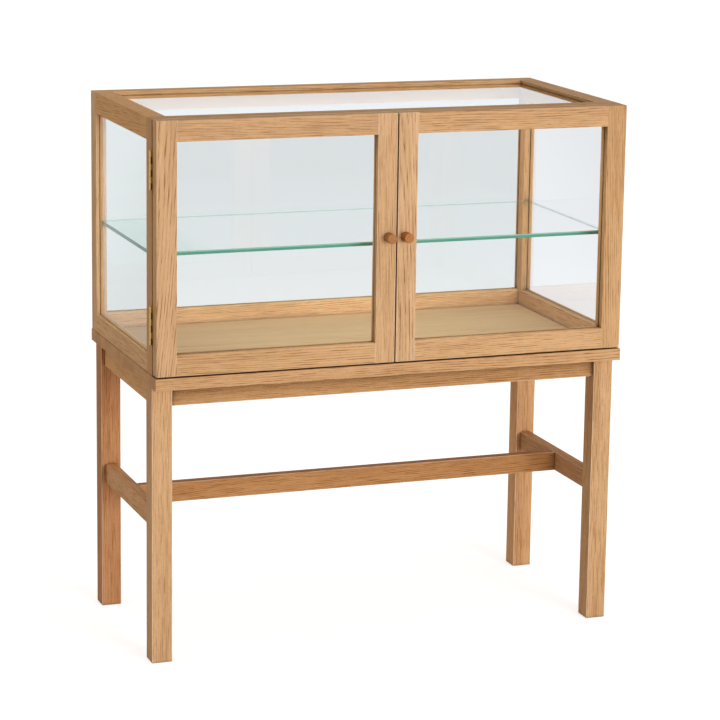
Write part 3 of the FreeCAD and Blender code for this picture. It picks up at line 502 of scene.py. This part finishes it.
# Painted shade: the shelf is tinted a darker green at its left end, fading in from -0.33 m to -0.45 m
SHELF = glass("shelf_glass", (0.99, 1.0, 0.996, 1), SHELF_LAMP_TINT, SHELF_EDGES,
              second_tint=(0.73, 0.9, 0.84, 1), fade=("X", -0.33, -0.45))
BRASS = metal("brass", BRASS_BRIGHT, BRASS_DULL, 0.24, 300.0)
CASE_BRASS = metal("brass_case_leaves", BRASS_BRIGHT, BRASS_DULL, 0.24, 300.0, knuckle_shade=True)
STEEL = metal("zinc_steel", (0.62, 0.62, 0.64, 1), (0.48, 0.48, 0.49, 1), 0.30, 250.0)
MAGNET = metal("magnet_plate", (0.36, 0.36, 0.37, 1), (0.24, 0.24, 0.25, 1), 0.35, 250.0)
CATCH = plastic("catch_plastic", (0.16, 0.10, 0.06, 1), (0.21, 0.14, 0.09, 1))

SLOT_MATERIALS = {"brass": BRASS, "brass_screws": BRASS, "steel": STEEL, "magnet": MAGNET,
                  "catch_plastic": CATCH, "pane_glass": PANE, "shelf_glass": SHELF}
SLOTS = {item["node"]: item["material_slot"] for item in frame["record"]["subparts"]}


def ease_edges(piece, width):
    """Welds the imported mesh's split corners and rounds its edges."""
    weld = piece.modifiers.new("weld", "WELD")
    weld.merge_threshold = WELD_REACH
    bevel = piece.modifiers.new("ease", "BEVEL")
    bevel.width = width
    bevel.segments = EASE_SEGMENTS
    bevel.limit_method = "ANGLE"
    bevel.angle_limit = SHARP_ANGLE
    bevel.use_clamp_overlap = True
    bevel.harden_normals = False
    piece.data.shade_smooth()
    normal = piece.modifiers.new("flat_faces", "WEIGHTED_NORMAL")
    normal.keep_sharp = False
    normal.weight = 100


# Fittings: one turned or punched piece for each loose solid of a CAD node, filling the same box
def loose_boxes(node):
    """The lowest and highest corner of each separate solid in a CAD node, in the order of their lowest corners."""
    bm = bmesh.new()
    bm.from_mesh(NODES[node].data)
    bmesh.ops.remove_doubles(bm, verts=bm.verts, dist=ISLAND_WELD)
    left, boxes = set(bm.verts), []
    while left:
        front = [left.pop()]
        island = list(front)
        while front:
            for edge in front.pop().link_edges:
                for vertex in edge.verts:
                    if vertex in left:
                        left.remove(vertex)
                        front.append(vertex)
                        island.append(vertex)
        corners = [vertex.co for vertex in island]
        boxes.append((Vector(map(min, zip(*corners))), Vector(map(max, zip(*corners)))))
    bm.free()
    return sorted(boxes, key=lambda box: tuple(box[0]))


def aimed(point, direction):
    """The place at a point, with its Z axis in a direction."""
    return Matrix.Translation(point) @ Vector(direction).to_track_quat("Z", "Y").to_matrix().to_4x4()


def turned(bm, place, profile):
    """Adds the skin turned from (radius, height) points about the place's Z axis. Returns the last ring."""
    ring = None
    for radius, height in profile:
        count = 1 if radius == 0 else TURNED_SIDES
        turns = [2 * math.pi * number / TURNED_SIDES for number in range(count)]
        new = [bm.verts.new(place @ Vector((radius * math.cos(t), radius * math.sin(t), height))) for t in turns]
        if ring and len(ring) == 1:
            for number in range(len(new)):
                bm.faces.new((ring[0], new[number], new[number - 1]))
        elif ring and len(new) == 1:
            for number in range(len(ring)):
                bm.faces.new((ring[number - 1], ring[number], new[0]))
        elif ring:
            for number in range(TURNED_SIDES):
                bm.faces.new((ring[number - 1], ring[number], new[number], new[number - 1]))
        ring = new
    return ring


def cross_recess(bm, place, ring, reach, width, depth):
    """Closes a screw head's top ring with a face that has a cross-shaped drive recess."""
    a, b = reach, width
    outline = [(a, b), (b, b), (b, a), (-b, a), (-b, b), (-a, b),
               (-a, -b), (-b, -b), (-b, -a), (b, -a), (b, -b), (a, -b)]
    top = [bm.verts.new(place @ Vector((x, y, 0))) for x, y in outline]
    foot = [bm.verts.new(place @ Vector((RECESS_TAPER * x, RECESS_TAPER * y, -depth))) for x, y in outline]
    rim = [bm.edges.new((top[number - 1], top[number])) for number in range(len(top))]
    rim += [bm.edges.get((ring[number - 1], ring[number])) for number in range(len(ring))]
    bmesh.ops.triangle_fill(bm, use_beauty=True, edges=rim, normal=place.to_3x3() @ Vector((0, 0, 1)))
    for number in range(len(top)):
        bm.faces.new((top[number - 1], top[number], foot[number], foot[number - 1]))
    bm.faces.new(foot)


def screw(bm, box, face, head, height, shank, countersunk, pitch=1.3 * MM):
    """A cross-head wood screw that fills the box, with its head towards the face."""
    low, high = box
    length = max(high - low)
    place = aimed((low + high) / 2 + Vector(face) * (length / 2), face)
    radius, root, rim = shank / 2, shank * THREAD_ROOT, head / 2
    level = -length + POINT_LENGTH * shank
    profile = [(0, -length), (root * 0.4, level)]
    while level < -PLAIN_LENGTH * length:
        profile += [(root, level + 0.3 * pitch), (radius, level + 0.6 * pitch), (root, level + 0.9 * pitch)]
        level += pitch
    profile.append((radius, level + pitch))
    if countersunk:
        profile += [(radius, -height), (rim, -0.12 * height), (0.95 * rim, 0)]
    else:
        profile += [(radius, -height), (0.97 * rim, -height), (rim, -0.9 * height),
                    (rim, -0.45 * height), (0.9 * rim, -0.12 * height), (0.75 * rim, 0)]
    ring = turned(bm, place, profile)
    cross_recess(bm, place, ring, reach=0.5 * rim, width=0.13 * rim, depth=0.55 * height)


def pin(bm, box):
    """A shelf pin along Y with rounded ends and a ring groove in the middle."""
    low, high = box
    half, radius = (high.y - low.y) / 2, (high.x - low.x) / 2
    groove, shoulder, tip = 0.35 * MM, 0.25 * MM, 0.9 * MM
    upper = [(radius - groove, 0.3 * MM), (radius, 0.5 * MM), (radius, half - MM),
             (radius - shoulder, half - shoulder), (radius - tip, half), (0, half)]
    lower = [(across, -along) for across, along in reversed(upper)]
    turned(bm, aimed((low + high) / 2, (0, 1, 0)), lower + upper)


def strike(bm, box):
    """A rounded strike plate held by a low cross-head screw."""
    low, high = box
    middle = (low + high) / 2
    half_x, half_z = (high.x - low.x) / 2, (high.z - low.z) / 2
    proud, ease, corner = 0.25 * MM, 0.25 * MM, 2 * MM
    rings = []
    for y, inset in ((low.y, 0), (high.y - proud - ease, 0), (high.y - proud, ease)):
        ring = []
        for sign_x, sign_z, start in ((1, 1, 0), (-1, 1, 90), (-1, -1, 180), (1, -1, 270)):
            for step in range(5):
                angle = math.radians(start + 22.5 * step)
                ring.append(bm.verts.new((
                    middle.x + sign_x * (half_x - corner) + (corner - inset) * math.cos(angle), y,
                    middle.z + sign_z * (half_z - corner) + (corner - inset) * math.sin(angle))))
        rings.append(ring)
    for first, second in zip(rings, rings[1:]):
        for number in range(len(first)):
            bm.faces.new((first[number - 1], first[number], second[number], second[number - 1]))
    bm.faces.new(rings[0])
    bm.faces.new(rings[-1])
    place = aimed((middle.x, high.y, middle.z), (0, 1, 0))
    head, sunk = 2.4 * MM, 0.9 * MM
    ring = turned(bm, place, [(0, -sunk), (head, -sunk), (head, -0.15 * MM), (2.1 * MM, 0)])
    cross_recess(bm, place, ring, reach=1.2 * MM, width=0.32 * MM, depth=0.6 * MM)


HINGE_SCREW = dict(head=6 * MM, height=1.2 * MM, shank=3 * MM, countersunk=True)
KNOB_SCREW = dict(head=8 * MM, height=2.2 * MM, shank=4 * MM, countersunk=False)
FIXING_SCREW = dict(head=10 * MM, height=3 * MM, shank=5 * MM, countersunk=False, pitch=2 * MM)
TURNED = {"stand_screws": ((0, 0, -1), FIXING_SCREW), "case_screws": ((0, 0, -1), FIXING_SCREW)}
for side in ("left", "right"):
    TURNED[f"hinge_screws_case_{side}"] = ((0, -1, 0), HINGE_SCREW)
    TURNED[f"hinge_screws_door_{side}"] = ((0, 1, 0), HINGE_SCREW)
    TURNED[f"door_{side}_knob_screw"] = ((0, 1, 0), KNOB_SCREW)
BODY_OF = {node: body for body, nodes in frame["record"]["behaviour"]["bodies"].items() for node in nodes}


def fitting(node, slot):
    """The detailed piece that is shown for a CAD node of plain screws, pins or plates."""
    bm = bmesh.new()
    for box in loose_boxes(node):
        if node in TURNED:
            face, sizes = TURNED[node]
            screw(bm, box, face, **sizes)
        elif node == "shelf_pins":
            pin(bm, box)
        else:
            strike(bm, box)
    bmesh.ops.recalc_face_normals(bm, faces=bm.faces)
    data = bpy.data.meshes.new(f"{node}_detail")
    bm.to_mesh(data)
    bm.free()
    data.shade_smooth()
    data.set_sharp_from_angle(angle=SHARP_ANGLE)
    data.materials.append(SLOT_MATERIALS[slot])
    piece = bpy.data.objects.new(f"{node}_detail", data)
    bpy.context.scene.collection.objects.link(piece)
    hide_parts(node)
    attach(piece, BODY_OF[node])


NODE_MATERIALS = {"glass_left": LEFT_PANE, "glass_rear": REAR_PANE, "glass_top": TOP_PANE,
                  "hinge_leaves_case_left": CASE_BRASS, "hinge_leaves_case_right": CASE_BRASS}
OAK_EASED_MM = {"base_plate": 0.6, "top_rail": 0.7, "bottom_rail": 0.35, "door": 1.5}
EASED_MM = {"hinge_leaves": 0.3, "hinge_pins": 0.3, "catch_housing": 0.7, "catch_magnets": 0.35, "glass": 0.5}
for number, (node, slot) in enumerate(sorted(SLOTS.items())):
    piece = NODES[node]
    if slot == "oak":
        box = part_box(node)
        dress(node, oak(f"oak_{node}", box, grain_of(*box), number, **BOARDS.get(node, {})))
        widths = (width * MM for word, width in OAK_EASED_MM.items() if node.startswith(word))
        ease_edges(piece, next(widths, EDGE_EASE))
    elif slot == "oak_knob":
        dress(node, oak(f"oak_{node}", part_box(node), "Y", number, **KNOB))
    elif node in TURNED or node == "shelf_pins" or node.endswith("strike_plate"):
        fitting(node, slot)
    else:
        dress(node, NODE_MATERIALS.get(node, SLOT_MATERIALS[slot]))
        ease_edges(piece, next(width for word, width in EASED_MM.items() if word in node) * MM)


def add_camera():
    """The photograph's view."""
    data = bpy.data.cameras.new("camera")
    data.lens = CAMERA_LENS
    data.sensor_width = CAMERA_SENSOR
    data.shift_y = CAMERA_SHIFT_Y
    data.clip_end = CAMERA_FAR
    camera = bpy.data.objects.new("camera", data)
    level = Euler((math.radians(90) + CAMERA_PITCH, 0, CAMERA_YAW), "XYZ").to_matrix()
    roll = Matrix.Rotation(-CAMERA_ROLL, 3, "Z")
    camera.matrix_world = Matrix.Translation(CAMERA_PLACE) @ (level @ roll).to_4x4()
    bpy.context.scene.collection.objects.link(camera)
    bpy.context.scene.camera = camera


def seen_background(graph, place, side, depth, front_reach, rear_reach):
    """Whether a ray that hasn't met a matt surface looks straight at the white backdrop, whether it is a reflection,
    and how bright the studio is there in a reflection: white at the rear right, grey at the rear left, light at the
    front left and darkest at the front right."""
    path = graph.add("ShaderNodeLightPath")
    first = graph.math("LESS_THAN", path.outputs["Diffuse Depth"], 0.5)
    straight = graph.math("MAXIMUM", path.outputs["Is Camera Ray"], path.outputs["Is Transmission Ray"])
    mirrored = graph.math("MULTIPLY", path.outputs["Is Glossy Ray"], first)
    rear_left = graph.between(place.outputs["Y"], *rear_reach, REAR_NEAR_GLOSS, REAR_FAR_GLOSS)
    across = graph.math("ADD", place.outputs["X"], graph.math("MULTIPLY", place.outputs["Y"], REAR_SLANT))
    rear = graph.add("ShaderNodeMix", Factor=graph.between(across, *REAR_SPLIT), A=rear_left,
                     B=REAR_RIGHT_GLOSS).outputs["Result"]
    front_right = graph.between(place.outputs["Y"], *front_reach, FRONT_FAR_GLOSS, FRONT_NEAR_GLOSS)
    front = graph.add("ShaderNodeMix", Factor=graph.between(place.outputs["X"], *side), A=FRONT_LEFT_GLOSS,
                      B=front_right).outputs["Result"]
    level = graph.add("ShaderNodeMix", Factor=graph.between(place.outputs["Y"], *depth), A=front, B=rear)
    return graph.math("MULTIPLY", straight, first), mirrored, level.outputs["Result"]


def add_world():
    """A warm fill that lights the object, white to the eye and through glass."""
    world = bpy.data.worlds.new("studio")
    world.use_nodes = True
    world.node_tree.nodes.clear()
    graph = Graph(world.node_tree)
    direction = graph.add("ShaderNodeSeparateXYZ", Vector=graph.add("ShaderNodeTexCoord").outputs["Generated"])
    fill = graph.add("ShaderNodeBackground", Color=FILL_COLOUR, Strength=FILL_STRENGTH)
    straight, mirrored, level = seen_background(graph, direction, **WORLD_FADES)
    white = graph.add("ShaderNodeBackground", Color=WHITE, Strength=1.0)
    gloss = graph.add("ShaderNodeBackground", Color=GLOSS_COLOUR, Strength=level)
    shown = graph.mix(mirrored, graph.mix(straight, fill.outputs[0], white.outputs[0]), gloss.outputs[0])
    output = graph.tree.nodes.new("ShaderNodeOutputWorld")
    graph.tree.links.new(shown, output.inputs["Surface"])
    bpy.context.scene.world = world


def add_floor():
    """A pale floor that takes the object's shadow and runs into the white behind it."""
    bm = bmesh.new()
    bmesh.ops.create_grid(bm, x_segments=1, y_segments=1, size=FLOOR_SIZE / 2)
    data = bpy.data.meshes.new("studio_floor")
    bm.to_mesh(data)
    bm.free()
    floor = bpy.data.objects.new("studio_floor", data)
    floor.location.z = -FLOOR_DROP
    bpy.context.scene.collection.objects.link(floor)
    material, graph = new_material("pale_floor")
    place = graph.add("ShaderNodeSeparateXYZ", Vector=graph.add("ShaderNodeTexCoord").outputs["Object"])
    straight, mirrored, level = seen_background(graph, place, **FLOOR_FADES)
    matte = graph.add("ShaderNodeBsdfDiffuse", Color=FLOOR_COLOUR)
    glow = graph.add("ShaderNodeEmission", Color=FLOOR_GLOW_COLOUR,
                     Strength=graph.math("MULTIPLY", straight, FLOOR_GLOW))
    gloss = graph.add("ShaderNodeEmission", Color=GLOSS_COLOUR, Strength=level)
    total = graph.tree.nodes.new("ShaderNodeAddShader")
    graph.tree.links.new(matte.outputs[0], total.inputs[0])
    graph.tree.links.new(glow.outputs[0], total.inputs[1])
    surface(graph, graph.mix(mirrored, total.outputs[0], gloss.outputs[0]))
    data.materials.append(material)


def add_lamp(name, place, target, size, power, colour):
    """A rectangular lamp that only lights, and isn't itself seen or mirrored."""
    data = bpy.data.lights.new(name, "AREA")
    data.shape = "RECTANGLE"
    data.size, data.size_y = size
    data.energy = power
    data.color = colour
    lamp = bpy.data.objects.new(name, data)
    lamp.location = place
    lamp.rotation_euler = (Vector(target) - Vector(place)).to_track_quat("-Z", "Y").to_euler()
    for ray in ("camera", "glossy", "transmission"):
        setattr(lamp, f"visible_{ray}", False)
    bpy.context.scene.collection.objects.link(lamp)


bpy.context.scene.view_settings.view_transform = "Standard"
add_camera()
add_world()
add_floor()
add_lamp("key_light", **KEY_LIGHT)
add_lamp("case_light", **CASE_LIGHT)
